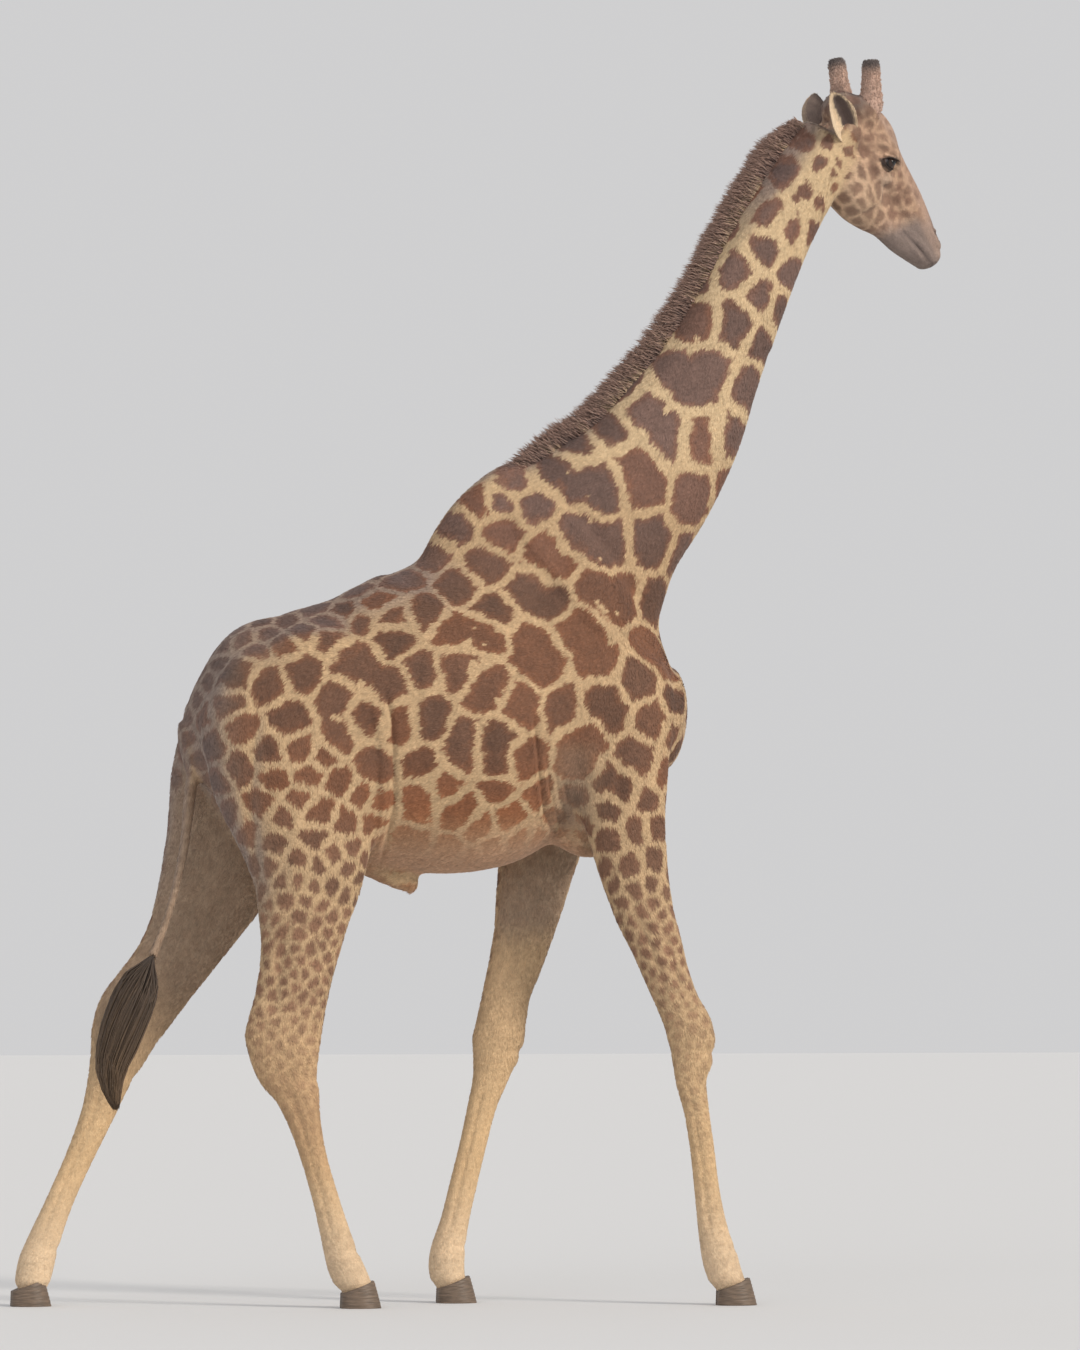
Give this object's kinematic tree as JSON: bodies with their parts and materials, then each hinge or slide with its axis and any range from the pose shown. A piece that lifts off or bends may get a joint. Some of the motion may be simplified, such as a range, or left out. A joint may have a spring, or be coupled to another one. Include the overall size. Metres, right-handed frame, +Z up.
{
  "type": "giraffe",
  "caption": "Life-size bull giraffe in a slow walk, head turned a little to its left, with patched coat, upright mane, haired ossicones and tufted tail.",
  "frame": {"origin": "middle of the underside of the whole model's bounding box, on the floor the hooves stand on", "axes": "+Z up, +X the way the body faces, +Y the animal's left"},
  "size_m": [3.5912, 0.761, 4.7353],
  "materials": {
    "coat": "short flat hair in brown patches on a cream-buff ground",
    "ear_coat": "short pale hair, darker hollow",
    "ossicone_coat": "short hair, worn dark grey-brown ends",
    "eye": "wet gloss",
    "hoof_horn": "dull horn",
    "mane_hair": "stiff upright red-brown hair",
    "tuft_hair": "long coarse black hair"
  },
  "bodies": {
    "root": {"trunk": "coat", "neck": "coat", "head": "coat", "foreleg_right": "coat", "foreleg_left": "coat", "hindleg_right": "coat", "hindleg_left": "coat", "tail": "coat", "ear_right": "ear_coat", "ear_left": "ear_coat", "eye_right": "eye", "eye_left": "eye", "ossicone_right": "ossicone_coat", "ossicone_left": "ossicone_coat", "mane": "mane_hair", "tail_tuft": "tuft_hair", "hoof_fore_right_outer": "hoof_horn", "hoof_fore_right_inner": "hoof_horn", "hoof_fore_left_outer": "hoof_horn", "hoof_fore_left_inner": "hoof_horn", "hoof_hind_right_outer": "hoof_horn", "hoof_hind_right_inner": "hoof_horn", "hoof_hind_left_outer": "hoof_horn", "hoof_hind_left_inner": "hoof_horn"}
  },
  "joints": []
}
